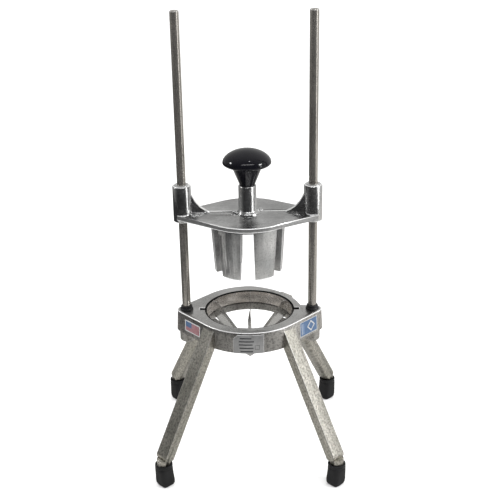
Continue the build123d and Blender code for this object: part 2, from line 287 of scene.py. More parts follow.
def bareMetal(name, look):
    # bare metal: directional grain, soft stains, small pits, and edges, where a piece marks them, that are partly
    # real wear and partly a painted highlight line: paler, glossier and less metallic than the rest
    material, nodes, links, shader = startFinish(name)
    plain, stretched = coordinates(nodes, links, look)
    grain = noise(nodes, links, stretched, look["grainScale"], detail=4.0, roughness=0.62)
    stain = noise(nodes, links, plain, look["stainScale"], detail=4.0, roughness=0.6)
    pits = noise(nodes, links, plain, look["pitScale"], detail=2.0, roughness=0.5)
    edgeMark = nodes.new("ShaderNodeAttribute")
    edgeMark.attribute_name = "wearAndHighlightEdge"
    stained = blendColour(nodes, links, between(nodes, links, stain, 0, 1), look["dark"], look["light"])
    streaks = between(nodes, links, grain, 0, look["grainContrast"])
    streaked = blendColour(nodes, links, streaks, stained, look["grainColour"])
    holes = between(nodes, links, pits, look["pitContrast"], 0, *look["pitRange"])
    pitted = blendColour(nodes, links, holes, streaked, look["pitColour"])
    edgeWearHighlight = combine(nodes, links, edgeMark.outputs["Fac"], look["wearHighlight"], "MULTIPLY")
    links.new(blendColour(nodes, links, edgeWearHighlight, pitted, look["wearHighlightColour"]), shader.inputs["Base Color"])
    scattered = combine(nodes, links, edgeMark.outputs["Fac"], look["wearHighlightScatter"], "MULTIPLY")
    links.new(combine(nodes, links, look["metallic"], scattered, "SUBTRACT"), shader.inputs["Metallic"])
    low, high = look["roughness"]
    stainRough = between(nodes, links, stain, 0, look["stainRoughness"])
    rough = combine(nodes, links, between(nodes, links, grain, low, high), stainRough)
    edgeGlossDrop = combine(nodes, links, edgeWearHighlight, look["wearHighlightGloss"], "MULTIPLY")
    links.new(combine(nodes, links, rough, edgeGlossDrop, "SUBTRACT"), shader.inputs["Roughness"])
    bump = nodes.new("ShaderNodeBump")
    bump.inputs["Strength"].default_value = look["bumpStrength"]
    bump.inputs["Distance"].default_value = look["bumpDepth"]
    pitting = combine(nodes, links, pits, look["pitDepth"], "MULTIPLY")
    links.new(combine(nodes, links, grain, pitting), bump.inputs["Height"])
    links.new(bump.outputs[0], shader.inputs["Normal"])
    return material


blueLoss = 1.4  # how far blue falls when red rises by one


def grey(level, warm=0.0):
    return (level * (1 + warm), level, level * (1 - warm * blueLoss), 1)


# what a metal has when its own look doesn't say
commonMetal = {"metallic": 1.0, "pitRange": (0.3, 0.42), "wearHighlightScatter": 0.6, "stainRoughness": 0.08}
metalLooks = {
    "castAluminium": {
        "grainStretch": (1, 1, 1.6), "grainScale": 420, "stainScale": 38, "pitScale": 480,
        "dark": grey(0.36, 0.03), "light": grey(0.64, 0.03), "grainColour": grey(0.36, 0.03),
        "grainContrast": 0.7,
        "pitRange": (0.36, 0.52), "pitColour": grey(0.18, 0.02), "pitContrast": 0.7, "pitDepth": 0.8,
        "wearHighlight": 0.9, "wearHighlightScatter": 0.5, "wearHighlightColour": grey(0.86), "wearHighlightGloss": 0.10,
        "roughness": (0.30, 0.46), "bumpStrength": 0.6, "bumpDepth": 0.00035,
    },
    "machinedAluminium": {
        "grainStretch": (1, 9, 1), "grainScale": 260, "stainScale": 30, "pitScale": 500,
        "dark": grey(0.40, 0.02), "light": grey(0.72, 0.01), "grainColour": grey(0.46), "grainContrast": 0.5,
        "pitColour": grey(0.3), "pitContrast": 0.25, "pitDepth": 0.3,
        "wearHighlight": 0.6, "wearHighlightColour": grey(0.9), "wearHighlightGloss": 0.05,
        "roughness": (0.20, 0.32), "bumpStrength": 0.3, "bumpDepth": 0.00015,
    },
    "legAluminium": {
        "map": "alongLeg", "grainStretch": (0.3, 1, 1), "grainScale": 620, "stainScale": 30, "pitScale": 430,
        "dark": (0.48, 0.455, 0.40, 1), "light": (0.78, 0.73, 0.675, 1), "grainColour": (0.33, 0.34, 0.30, 1),
        "grainContrast": 0.85,
        "pitRange": (0.38, 0.56), "pitColour": (0.22, 0.21, 0.19, 1), "pitContrast": 0.75, "pitDepth": 0.6,
        "wearHighlight": 0.35, "wearHighlightScatter": 0.15, "wearHighlightColour": grey(0.92), "wearHighlightGloss": 0.12,
        "roughness": (0.28, 0.42), "bumpStrength": 0.6, "bumpDepth": 0.0003,
    },
    "polishedPlate": {
        "grainStretch": (1, 7, 1), "grainScale": 240, "stainScale": 17, "pitScale": 460,
        "dark": grey(0.26), "light": grey(0.74), "grainColour": grey(0.5), "grainContrast": 0.35,
        "pitColour": grey(0.25), "pitContrast": 0.35, "pitDepth": 0.35,
        "wearHighlight": 0.8, "wearHighlightScatter": 0.4, "wearHighlightColour": grey(0.92), "wearHighlightGloss": 0.03,
        "roughness": (0.13, 0.24), "bumpStrength": 0.35, "bumpDepth": 0.0002,
    },
    "plateEdge": {
        "grainStretch": (1, 1, 1.6), "grainScale": 380, "stainScale": 40, "pitScale": 560, "metallic": 0.8,
        "dark": grey(0.24), "light": grey(0.46), "grainColour": grey(0.26), "grainContrast": 0.5,
        "pitRange": (0.32, 0.46), "pitColour": grey(0.2), "pitContrast": 0.5, "pitDepth": 0.5,
        "wearHighlight": 0.9, "wearHighlightColour": grey(0.92), "wearHighlightGloss": 0.1,
        "roughness": (0.28, 0.42), "bumpStrength": 0.4, "bumpDepth": 0.0002,
    },
    "fingerAluminium": {
        "grainStretch": (1, 1, 0.06), "grainScale": 520, "stainScale": 45, "pitScale": 600,
        "dark": (0.36, 0.37, 0.38, 1), "light": grey(0.76), "grainColour": grey(0.48), "grainContrast": 0.5,
        "pitRange": (0.32, 0.48), "pitColour": grey(0.25), "pitContrast": 0.45, "pitDepth": 0.3,
        "wearHighlight": 0.7, "wearHighlightColour": grey(0.92), "wearHighlightGloss": 0.08,
        "roughness": (0.24, 0.4), "bumpStrength": 0.45, "bumpDepth": 0.0002,
    },
    "rodSteel": {
        "grainStretch": (1, 1, 0.05), "grainScale": 800, "stainScale": 24, "pitScale": 900, "metallic": 0.85,
        "dark": grey(0.31, 0.06), "light": grey(0.40, 0.06), "grainColour": grey(0.29, 0.05),
        "grainContrast": 0.25,
        "pitColour": grey(0.3), "pitContrast": 0.1, "pitDepth": 0.1,
        "wearHighlight": 0.5, "wearHighlightColour": grey(0.8), "wearHighlightGloss": 0.03,
        "roughness": (0.17, 0.23), "bumpStrength": 0.05, "bumpDepth": 0.00005,
    },
    "bandSteel": {
        "grainStretch": (1, 1, 0.4), "grainScale": 300, "stainScale": 40, "pitScale": 900, "metallic": 0.8,
        "dark": (0.52, 0.48, 0.43, 1), "light": (0.92, 0.88, 0.85, 1), "grainColour": (0.62, 0.57, 0.51, 1),
        "grainContrast": 0.4,
        "pitColour": grey(0.2), "pitContrast": 0.1, "pitDepth": 0.2,
        "wearHighlight": 0.6, "wearHighlightColour": grey(0.85), "wearHighlightGloss": 0.02,
        "roughness": (0.14, 0.24), "bumpStrength": 0.2, "bumpDepth": 0.0001,
    },
    "bladeSteel": {
        "grainStretch": (1, 1, 6), "grainScale": 400, "stainScale": 40, "pitScale": 900,
        "dark": grey(0.42, 0.01), "light": grey(0.62, 0.01), "grainColour": grey(0.45), "grainContrast": 0.5,
        "pitColour": grey(0.2), "pitContrast": 0.1, "pitDepth": 0.2,
        "wearHighlight": 0.8, "wearHighlightColour": grey(0.92), "wearHighlightGloss": 0.04,
        "roughness": (0.16, 0.28), "bumpStrength": 0.25, "bumpDepth": 0.0001,
    },
    "screwSteel": {
        "grainStretch": (1, 1, 1), "grainScale": 900, "stainScale": 120, "pitScale": 1500,
        "dark": grey(0.12), "light": grey(0.24), "grainColour": grey(0.2), "grainContrast": 0.4,
        "pitColour": grey(0.1), "pitContrast": 0.2, "pitDepth": 0.3,
        "wearHighlight": 0.6, "wearHighlightColour": grey(0.5), "wearHighlightGloss": 0.06,
        "roughness": (0.3, 0.45), "bumpStrength": 0.3, "bumpDepth": 0.0001,
    },
    "bushingMetal": {
        "grainStretch": (1, 1, 5), "grainScale": 600, "stainScale": 60, "pitScale": 900,
        "dark": grey(0.6), "light": grey(0.8), "grainColour": grey(0.7), "grainContrast": 0.3,
        "pitColour": grey(0.4), "pitContrast": 0.1, "pitDepth": 0.2,
        "wearHighlight": 0.5, "wearHighlightColour": grey(0.92), "wearHighlightGloss": 0.03,
        "roughness": (0.16, 0.26), "bumpStrength": 0.2, "bumpDepth": 0.0001,
    },
    "insertBrass": {
        "grainStretch": (1, 1, 3), "grainScale": 500, "stainScale": 60, "pitScale": 900,
        "dark": (0.55, 0.38, 0.13, 1), "light": (0.80, 0.58, 0.25, 1), "grainColour": (0.6, 0.43, 0.17, 1),
        "grainContrast": 0.3,
        "pitColour": (0.3, 0.2, 0.07, 1), "pitContrast": 0.2, "pitDepth": 0.2,
        "wearHighlight": 0.5, "wearHighlightColour": (0.9, 0.7, 0.35, 1), "wearHighlightGloss": 0.05,
        "roughness": (0.22, 0.36), "bumpStrength": 0.2, "bumpDepth": 0.0001,
    },
    # painted shade: a near-black finish laid on the frame's seat wall and notches and on the band's top rim and
    # foot, where those gaps fall in shadow
    "paintedShadeMetal": {
        "grainStretch": (1, 1, 1), "grainScale": 600, "stainScale": 120, "pitScale": 900,
        "dark": grey(0.02), "light": grey(0.05), "grainColour": grey(0.03), "grainContrast": 0.4,
        "pitColour": grey(0.01), "pitContrast": 0.3, "pitDepth": 0.3,
        "wearHighlight": 0.1, "wearHighlightColour": grey(0.2), "wearHighlightGloss": 0.0,
        "roughness": (0.6, 0.75), "bumpStrength": 0.3, "bumpDepth": 0.0001,
    },
    "plateMetal": {
        "grainStretch": (6, 6, 1), "grainScale": 300, "stainScale": 70, "pitScale": 900, "metallic": 0.55,
        "dark": grey(0.22), "light": grey(0.36), "grainColour": grey(0.26), "grainContrast": 0.4,
        "pitColour": grey(0.15), "pitContrast": 0.2, "pitDepth": 0.2,
        "wearHighlight": 0.6, "wearHighlightColour": grey(0.92), "wearHighlightGloss": 0.06,
        "roughness": (0.3, 0.42), "bumpStrength": 0.2, "bumpDepth": 0.0001,
    },
}
metals = {name: bareMetal(name, {**commonMetal, **look}) for name, look in metalLooks.items()}


def softBlack(name, look):
    # moulded rubber or plastic: a fine pebble, dust that lightens it, and no metal
    material, nodes, links, shader = startFinish(name)
    plain = nodes.new("ShaderNodeTexCoord").outputs["Object"]
    pebble = noise(nodes, links, plain, look["pebbleScale"], detail=2.0, roughness=0.5)
    dust = noise(nodes, links, plain, look["dustScale"], detail=4.0, roughness=0.6)
    dustiness = between(nodes, links, dust, 0, look["dustAmount"])
    dusty = blendColour(nodes, links, dustiness, look["colour"], look["dustColour"])
    links.new(dusty, shader.inputs["Base Color"])
    low, high = look["roughness"]
    links.new(between(nodes, links, dust, low, high), shader.inputs["Roughness"])
    shader.inputs["Specular IOR Level"].default_value = look["specular"]
    bump = nodes.new("ShaderNodeBump")
    bump.inputs["Strength"].default_value = look["bumpStrength"]
    bump.inputs["Distance"].default_value = look["bumpDepth"]
    links.new(pebble, bump.inputs["Height"])
    links.new(bump.outputs[0], shader.inputs["Normal"])
    return material


blackLooks = {
    "bootRubber": {
        "colour": (0.007, 0.007, 0.0075, 1), "dustColour": (0.022, 0.022, 0.023, 1), "dustAmount": 0.6,
        "pebbleScale": 900, "dustScale": 90, "roughness": (0.48, 0.68), "specular": 0.2,
        "bumpStrength": 0.4, "bumpDepth": 0.0002,
    },
    "bumperRubber": {
        "colour": (0.006, 0.006, 0.0065, 1), "dustColour": (0.016, 0.016, 0.017, 1), "dustAmount": 0.5,
        "pebbleScale": 1200, "dustScale": 140, "roughness": (0.4, 0.55), "specular": 0.45,
        "bumpStrength": 0.3, "bumpDepth": 0.00012,
    },
    "knobPlastic": {
        "colour": (0.003, 0.003, 0.0045, 1), "dustColour": (0.008, 0.008, 0.011, 1), "dustAmount": 0.6,
        "pebbleScale": 160, "dustScale": 55, "roughness": (0.07, 0.13), "specular": 0.32,
        "bumpStrength": 0.08, "bumpDepth": 0.00015,
    },
}
blacks = {name: softBlack(name, look) for name, look in blackLooks.items()}


filmInk = {"inkScale": 220, "fade": 0.8, "roughnessSpread": 0.12, "peelScale": 700, "bumpStrength": 0.15,
           "bumpDepth": 0.0001}


def printedFilm(name, colour, faded, roughness):
    # printed vinyl: faintly uneven ink with a fine orange-peel gloss
    material, nodes, links, shader = startFinish(name)
    plain = nodes.new("ShaderNodeTexCoord").outputs["Object"]
    ink = noise(nodes, links, plain, filmInk["inkScale"], detail=4.0, roughness=0.6)
    printed = blendColour(nodes, links, between(nodes, links, ink, 0, filmInk["fade"]), colour, faded)
    links.new(printed, shader.inputs["Base Color"])
    rough = between(nodes, links, ink, roughness, roughness + filmInk["roughnessSpread"])
    links.new(rough, shader.inputs["Roughness"])
    bump = nodes.new("ShaderNodeBump")
    bump.inputs["Strength"].default_value = filmInk["bumpStrength"]
    bump.inputs["Distance"].default_value = filmInk["bumpDepth"]
    links.new(noise(nodes, links, plain, filmInk["peelScale"]), bump.inputs["Height"])
    links.new(bump.outputs[0], shader.inputs["Normal"])
    return material


filmLooks = {
    # ink, faded ink, roughness
    "whiteFilm": ((0.50, 0.50, 0.50, 1), (0.38, 0.38, 0.38, 1), 0.32),
    "blueFilm": ((0.045, 0.095, 0.19, 1), (0.08, 0.14, 0.25, 1), 0.30),
    "paleBlueFilm": ((0.11, 0.17, 0.28, 1), (0.17, 0.23, 0.34, 1), 0.32),
    "redFilm": ((0.24, 0.10, 0.115, 1), (0.30, 0.17, 0.18, 1), 0.32),
    "darkInk": ((0.02, 0.022, 0.024, 1), (0.06, 0.062, 0.065, 1), 0.45),
}
films = {name: printedFilm(name, *look) for name, look in filmLooks.items()}
print("finishes made")

# Helpers for pieces

meshing = {"merge": 1e-6, "flat": 0.4, "sharp": 28, "smooth": 32}  # a distance in metres, then degrees


def bevelEdges(bm, edges, width, segments=2, clamp=True):
    return bmesh.ops.bevel(bm, geom=edges, offset=width, offset_type="OFFSET", segments=segments, profile=0.5,
                           affect="EDGES", clamp_overlap=clamp, material=-1)


def sharpEdges(bm, angle=meshing["sharp"]):
    return [edge for edge in bm.edges if edge.is_manifold and edge.calc_face_angle(0) > radians(angle)]


# a mark read by the bare metal finish: partly edge wear, partly a painted highlight that keeps these faces bright
def markWearAndHighlight(bm, faces):
    layer = bm.loops.layers.float.get("wearAndHighlightEdge") or bm.loops.layers.float.new("wearAndHighlightEdge")
    for face in faces:
        if face.is_valid:
            for loop in face.loops:
                loop[layer] = 1.0


def finishPiece(name, bm, body, materials, replaced, smoothAngle=meshing["smooth"]):
    mesh = bpy.data.meshes.new(name)
    if not bm.loops.layers.float.get("wearAndHighlightEdge"):
        bm.loops.layers.float.new("wearAndHighlightEdge")
    bm.to_mesh(mesh)
    bm.free()
    for material in materials:
        mesh.materials.append(material)
    mesh.shade_smooth()
    mesh.set_sharp_from_angle(angle=radians(smoothAngle))
    piece = bpy.data.objects.new(name, mesh)
    bpy.context.scene.collection.objects.link(piece)
    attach(piece, body)
    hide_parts(*replaced)


def castCopy(node):
    # merged copy of a solid, with its flat faces joined up
    bm = bmesh.new()
    bm.from_mesh(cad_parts[node].data)
    bmesh.ops.remove_doubles(bm, verts=bm.verts, dist=meshing["merge"])
    bmesh.ops.dissolve_limit(bm, angle_limit=radians(meshing["flat"]), verts=bm.verts, edges=bm.edges)
    return bm


def softened(node, width, segments=2):
    # a small round on every sharp edge, kept narrow where edges are close
    bm = castCopy(node)
    markWearAndHighlight(bm, bevelEdges(bm, sharpEdges(bm), width, segments)["faces"])
    return bm


def roundedWithWearHighlight(node, width, test, segments=3):
    # a fuller round on the sharp edges whose middles pass the test, marked for edge wear and a painted highlight
    bm = castCopy(node)
    chosen = [edge for edge in sharpEdges(bm) if test((edge.verts[0].co + edge.verts[1].co) / 2)]
    markWearAndHighlight(bm, bevelEdges(bm, chosen, width, segments, clamp=False)["faces"])
    return bm


def turned(profile, steps, edge, sharp, x=0.0, segments=2, edgeWearHighlight=True):
    # profile of (radius, height) pairs spun about an upright axis, its sharp edges rounded and marked for edge wear
    # and a painted highlight unless told not to
    bm = bmesh.new()
    points = [bm.verts.new((radius, 0, height)) for radius, height in profile]
    runs = [bm.edges.new(pair) for pair in zip(points, points[1:])]
    bmesh.ops.spin(bm, geom=points + runs, cent=(0, 0, 0), axis=(0, 0, 1), angle=2 * pi, steps=steps,
                   use_merge=True)
    bmesh.ops.remove_doubles(bm, verts=bm.verts, dist=meshing["merge"])
    bmesh.ops.recalc_face_normals(bm, faces=bm.faces)
    made = bevelEdges(bm, sharpEdges(bm, sharp), edge, segments)
    if edgeWearHighlight:
        markWearAndHighlight(bm, made["faces"])
    bmesh.ops.translate(bm, verts=bm.verts, vec=(x, 0, 0))
    return bm


# Base: frame, legs and boots

frameCasting = {
    "edge": 0.85 * mm, "hollow": 53 * mm, "topTolerance": 0.4 * mm, "topFacing": 0.95,
    "lip": 49.5 * mm, "seat": 50.9 * mm, "seatDepth": 15.8 * mm,
    "notch": 2.9 * mm, "notchReach": 56.5 * mm, "notchDepth": 10 * mm,
}


def makeFrame(size):
    topLow = deck - size["topTolerance"]
    bm = roundedWithWearHighlight("frame_casting", size["edge"],
              lambda place: place.z > topLow and hypot(place.x, place.y) > size["hollow"])
    for face in bm.faces:  # the top is faced in a lathe, the seat's wall and the notch get painted shade where they fall in shadow, and the rest is as cast
        onTop = min(vertex.co.z for vertex in face.verts) > topLow and face.normal.z > size["topFacing"]
        middle = face.calc_center_median()
        reach = hypot(middle.x, middle.y)
        depth = deck - middle.z
        below = middle.z < topLow
        inSeat = below and size["lip"] < reach < size["seat"] and depth < size["seatDepth"]
        nearNotch = abs(middle.y) < size["notch"] and reach < size["notchReach"]
        inNotch = below and nearNotch and depth < size["notchDepth"]
        face.material_index = 1 if onTop else 2 if inSeat or inNotch else 0
    metal = [metals[name] for name in ("castAluminium", "machinedAluminium", "paintedShadeMetal")]
    finishPiece("frameCasting", bm, "base", metal, ["frame_casting"])


legShape = {
    "edge": 0.55 * mm, "ankle": 42 * mm, "joint": 20 * mm,
    "headReach": 36.5 * mm, "footReach": 94.6 * mm, "footHeight": 27.4 * mm,
    "grainX": 0.05, "grainY": 0.11,  # so that no two legs share their grain
}


def makeLegs(size):
    for title, name, sideX, sideY in corners:
        bm = roundedWithWearHighlight("leg_" + name, size["edge"], lambda place: size["ankle"] < place.z < deck - size["joint"])
        head = Vector((sideX * size["headReach"], sideY * size["headReach"], deck))
        foot = Vector((sideX * size["footReach"], sideY * size["footReach"], size["footHeight"]))
        along = (foot - head).normalized()
        around = Vector((-sideY, sideX, 0)).normalized()
        outward = along.cross(around)
        alongLeg = bm.loops.layers.uv.new("alongLeg")
        for face in bm.faces:
            for loop in face.loops:
                place = loop.vert.co - head
                across = place.dot(around) + place.dot(outward) + size["grainX"] * sideX + size["grainY"] * sideY
                loop[alongLeg].uv = (place.dot(along), across)
        finishPiece("leg" + title, bm, "base", [metals["legAluminium"]], ["leg_" + name])


boot = {
    "reach": 94.6 * mm, "soleShift": 1.1 * mm, "soleRise": 20 * mm, "start": 10 * mm, "steps": 48, "smooth": 50,
    # height and half width in millimetres, then squareness from 0 round to 1 square
    "rings": [
        (0.0, 5.6, 0.75), (0.0, 6.2, 0.75), (0.5, 7.0, 0.75), (1.6, 7.7, 0.75), (3.6, 8.2, 0.75),
        (6.0, 8.42, 0.72), (9.5, 8.4, 0.62), (14.0, 8.4, 0.48), (19.0, 8.55, 0.30), (22.5, 8.95, 0.15),
        (22.9, 8.75, 0.12), (23.4, 8.75, 0.1), (23.9, 9.3, 0.05), (24.6, 9.6, 0.0), (26.4, 9.7, 0.0),
        (27.0, 9.6, 0.0), (27.4, 9.1, 0.0), (27.35, 8.2, 0.0), (26.9, 7.75, 0.0), (25.5, 7.5, 0.0),
        (7.05, 7.5, 0.0), (7.0, 7.2, 0.0),
    ],
}
roundPower, squarePower = 2, 6.5


def ringPlace(angle, halfWidth, squareness, height):
    # a circle that goes towards a rounded square whose flats stand halfWidth from its centre
    power = roundPower + (squarePower - roundPower) * squareness
    reach = halfWidth / (abs(cos(angle)) ** power + abs(sin(angle)) ** power) ** (1 / power)
    return Vector((reach * cos(angle), reach * sin(angle), height)) * mm


def makeBoots(size):
    for title, name, sideX, sideY in corners:
        bm = bmesh.new()
        ring = bmesh.ops.create_circle(bm, segments=size["steps"], radius=size["start"])["verts"]
        angles = [atan2(vertex.co.y, vertex.co.x) for vertex in ring]
        edges = list({edge for vertex in ring for edge in vertex.link_edges})
        for count, (height, halfWidth, squareness) in enumerate(size["rings"]):
            if count:
                grown = bmesh.ops.extrude_edge_only(bm, edges=edges)["geom"]
                edges = [part for part in grown if isinstance(part, bmesh.types.BMEdge)]
                ring = list({vertex for edge in edges for vertex in edge.verts})
                angles = [atan2(vertex.co.y, vertex.co.x) for vertex in ring]
            for vertex, angle in zip(ring, angles):
                vertex.co = ringPlace(angle, halfWidth, squareness, height)
        bmesh.ops.holes_fill(bm, edges=bm.edges, sides=0)
        bmesh.ops.recalc_face_normals(bm, faces=bm.faces)
        for vertex in bm.verts:
            shift = (1 - min(vertex.co.z / size["soleRise"], 1)) * size["soleShift"]
            vertex.co = Matrix.Rotation(pi / 4, 3, "Z") @ vertex.co
            vertex.co += Vector((sideX * (size["reach"] - shift), sideY * (size["reach"] - shift), 0))
        rubber = [blacks["bootRubber"]]
        finishPiece("boot" + title, bm, "base", rubber, ["boot_" + name], size["smooth"])


makeFrame(frameCasting)
makeLegs(legShape)
makeBoots(boot)
print("frame, legs and boots made")

# Guide rods with their stops and screws

rodShape = {
    "foot": 34.5 * mm, "middle": 20 * mm, "topChamfer": 0.9 * mm, "dimple": 1.2 * mm, "dimpleDepth": 0.6 * mm,
    "edge": 0.18 * mm, "sharp": 40, "steps": 48,
}
bumper = {
    "gap": 0.05 * mm, "baseRadius": 7.4 * mm, "topRadius": 6.3 * mm, "height": 4.8 * mm, "groove": 0.35 * mm,
    "rises": (0.22, 0.45, 0.7),  # where the base ends, the groove lies and the top begins, as parts of the height
    "edge": 0.5 * mm, "sharp": 35, "steps": 48,
}
screws = {
    "edge": 0.25 * mm,
    # piece, node, body and metal
    "pieces": [("rodSetScrews", "rod_set_screws", "base", "screwSteel"),
               ("ringSetScrews", "ring_set_screws", "base", "screwSteel"),
               ("pushBlockScrews", "push_block_screws", "pusher", "bushingMetal"),
               ("centreBolt", "centre_bolt", "pusher", "screwSteel")],
}


def makeRods(size, stop):
    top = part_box("guide_rod_left")[1].z
    for title, name, side in sides:
        x = side * rodCentre
        bottom, chamfer = deck - size["foot"], size["topChamfer"]
        profile = [(0, bottom), (rodRadius, bottom), (rodRadius, deck + size["middle"]), (rodRadius, top - chamfer),
                   (rodRadius - chamfer, top), (size["dimple"], top), (0, top - size["dimpleDepth"])]
        bm = turned(profile, size["steps"], size["edge"], size["sharp"], x)
        finishPiece("guideRod" + title, bm, "base", [metals["rodSteel"]], ["guide_rod_" + name])
        inner, high, foot, shoulder = rodRadius + stop["gap"], stop["height"], stop["baseRadius"], stop["topRadius"]
        waist = (foot + shoulder) / 2 - stop["groove"]
        baseEnd, grooveAt, topStart = (deck + rise * high for rise in stop["rises"])
        profile = [(inner, deck), (foot, deck), (foot, baseEnd), (waist, grooveAt), (shoulder, topStart),
                   (shoulder, deck + high), (inner, deck + high), (inner, deck)]
        bm = turned(profile, stop["steps"], stop["edge"], stop["sharp"], x, segments=3)
        rubber = [blacks["bumperRubber"]]
        finishPiece("rodBumper" + title, bm, "base", rubber, ["rod_bumper_" + name])


def makeScrews(size):
    for title, name, body, metal in size["pieces"]:
        finishPiece(title, softened(name, size["edge"]), body, [metals[metal]], [name])
    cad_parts["knob_insert"].material_slots[0].material = metals["insertBrass"]


makeRods(rodShape, bumper)
makeScrews(screws)
print("rods, stops and screws made")

# Blade ring

band = {
    "outer": 49.3 * mm, "wall": 1.2 * mm, "edge": 0.25 * mm, "sharp": 40, "steps": 128,
    "footChamfer": 0.9 * mm, "footSlope": 0.8, "shadeReach": 0.85,  # the last two are parts of the chamfer
    "tabLength": 6.0 * mm, "tabWidth": 2.0 * mm, "tabTop": 5.0 * mm, "tabHeight": 3.6 * mm, "tabEdge": 0.3 * mm,
}
blade = {"count": 6, "edge": 0.12 * mm, "segments": 1}
pin = {
    "shoulder": 14.4 * mm, "radius": 2.0 * mm, "pointRadius": 0.25 * mm, "pointDepth": 0.8 * mm,
    "taper": 2 * mm, "tipRadius": 0.3 * mm, "tipRise": 0.1 * mm, "edge": 0.15 * mm, "sharp": 25, "steps": 32,
}


def makeBladeBand(size):
    outer, inner = size["outer"], size["outer"] - size["wall"]
    low, high = (corner.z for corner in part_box("blade_band"))
    chamfer = size["footChamfer"]
    profile = [(outer, low), (outer, high), (inner, high), (inner, low + chamfer),
               (inner + size["footSlope"] * chamfer, low), (outer, low)]
    bm = turned(profile, size["steps"], size["edge"], size["sharp"], edgeWearHighlight=False)
    for face in bm.faces:  # painted shade darkens the top rim and the lead-in at the foot, where the band meets the frame in shadow
        middle = face.calc_center_median()
        shadedReach = inner + size["shadeReach"] * chamfer
        atFoot = middle.z < low + chamfer and hypot(middle.x, middle.y) < shadedReach
        face.material_index = 1 if atFoot or middle.z > high - size["edge"] else 0
    for side in (-1, 1):
        tab = bmesh.ops.create_cube(bm, size=1)["verts"]
        bmesh.ops.scale(bm, verts=tab, vec=(size["tabLength"], size["tabWidth"], size["tabHeight"]))
        reach = outer + size["tabLength"] / 2 - size["wall"] / 2
        bmesh.ops.translate(bm, verts=tab, vec=(side * reach, 0, deck - size["tabTop"] - size["tabHeight"] / 2))
        edges = list({edge for vertex in tab for edge in vertex.link_edges})
        markWearAndHighlight(bm, bevelEdges(bm, edges, size["tabEdge"])["faces"])
    metal = [metals["bandSteel"], metals["paintedShadeMetal"]]
    finishPiece("bladeBand", bm, "base", metal, ["blade_band"])


def makeBlades(size, spike):
    for count in range(1, size["count"] + 1):
        bm = softened(f"blade_{count}", size["edge"], size["segments"])
        finishPiece(f"blade{count}", bm, "base", [metals["bladeSteel"]], [f"blade_{count}"])
    bottom, point = (corner.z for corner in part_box("blade_centre_pin"))
    radius = spike["radius"]
    profile = [(0, point), (spike["pointRadius"], point - spike["pointDepth"]), (radius, deck - spike["shoulder"]),
               (radius, bottom + spike["taper"]), (spike["tipRadius"], bottom + spike["tipRise"]), (0, bottom)]
    bm = turned(profile, spike["steps"], spike["edge"], spike["sharp"])
    finishPiece("bladeCentrePin", bm, "base", [metals["bladeSteel"]], ["blade_centre_pin"])


makeBladeBand(band)
makeBlades(blade, pin)
print("blade ring made")

# Pusher: head, bushings, push block and knob

pusherHead = {
    "rim": 0.8 * mm, "rimReach": 40 * mm, "plate": 5.2 * mm, "plateSide": 66 * mm, "tolerance": 0.3 * mm,
    "ribHalf": 1.6 * mm, "postReach": 10 * mm, "ribAside": 0.3, "ribUp": 0.2,  # how a rib face with the painted highlight may point
}
bushing = {
    "bore": 4.8175 * mm, "outer": 6.35 * mm, "flange": 7.6 * mm, "flangeHeight": 0.9 * mm,
    "edge": 0.22 * mm, "sharp": 40, "steps": 48,
}
pushBlock = {"edge": 0.5 * mm, "segments": 2, "disc": 6 * mm}  # only the fingers, under the disc, are rounded


def makePusherHead(size, sleeve):
    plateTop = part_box("push_block")[1].z + size["plate"]
    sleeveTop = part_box("sleeve_bushing_left")[1].z - sleeve["flangeHeight"]

    def onRim(place):
        besidePlate = place.z < plateTop + size["tolerance"] and hypot(place.x, place.y) > size["rimReach"]
        return besidePlate or place.z > sleeveTop - size["tolerance"]

    def onRib(face):
        middle = face.calc_center_median()
        facing = abs(face.normal.y) < size["ribAside"] and face.normal.z > size["ribUp"]
        within = abs(middle.y) < size["ribHalf"] and size["postReach"] < abs(middle.x) < size["plateSide"]
        return facing and within and middle.z > plateTop + size["tolerance"]

    bm = roundedWithWearHighlight("pusher_head", size["rim"], onRim)
    # the rib's crest faces get the edge mark too, which paints a highlight line along the rib
    markWearAndHighlight(bm, [face for face in bm.faces if onRib(face)])
    for face in bm.faces:  # the plate's side and underside are left as cast
        middle = face.calc_center_median()
        asCast = middle.z < plateTop - size["tolerance"] and abs(middle.x) < size["plateSide"]
        face.material_index = 1 if asCast else 0
    metal = [metals["polishedPlate"], metals["plateEdge"]]
    finishPiece("pusherHead", bm, "pusher", metal, ["pusher_head"])


def makeBushings(size):
    bore, outer, flange = size["bore"], size["outer"], size["flange"]
    for title, name, side in sides:
        low, high = (corner.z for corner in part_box("sleeve_bushing_" + name))
        shelf = high - size["flangeHeight"]
        profile = [(bore, low), (outer, low), (outer, shelf), (flange, shelf), (flange, high), (bore, high),
                   (bore, low)]
        bm = turned(profile, size["steps"], size["edge"], size["sharp"], side * rodCentre)
        metal = [metals["bushingMetal"]]
        finishPiece("sleeveBushing" + title, bm, "pusher", metal, ["sleeve_bushing_" + name])


def makePushBlock(size):
    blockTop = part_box("push_block")[1].z
    bm = roundedWithWearHighlight("push_block", size["edge"], lambda place: place.z < blockTop - size["disc"], size["segments"])
    finishPiece("pushBlock", bm, "pusher", [metals["fingerAluminium"]], ["push_block"])


knobShape = {
    # millimetres: radii, the rise and depth of the widest part, and the drop of the waist from the crown
    "radius": 26.25, "rise": 14.6, "belly": 4.3, "neck": 16.6, "waist": 8.45, "waistDrop": 39.1, "foot": 8.3,
    "bore": 6.0, "boreDepth": 20.3, "edge": 0.3,
    "fullness": 1.08, "steps": 96, "arcSteps": 16, "stemSteps": 10, "sharp": 50, "smooth": 50,
}


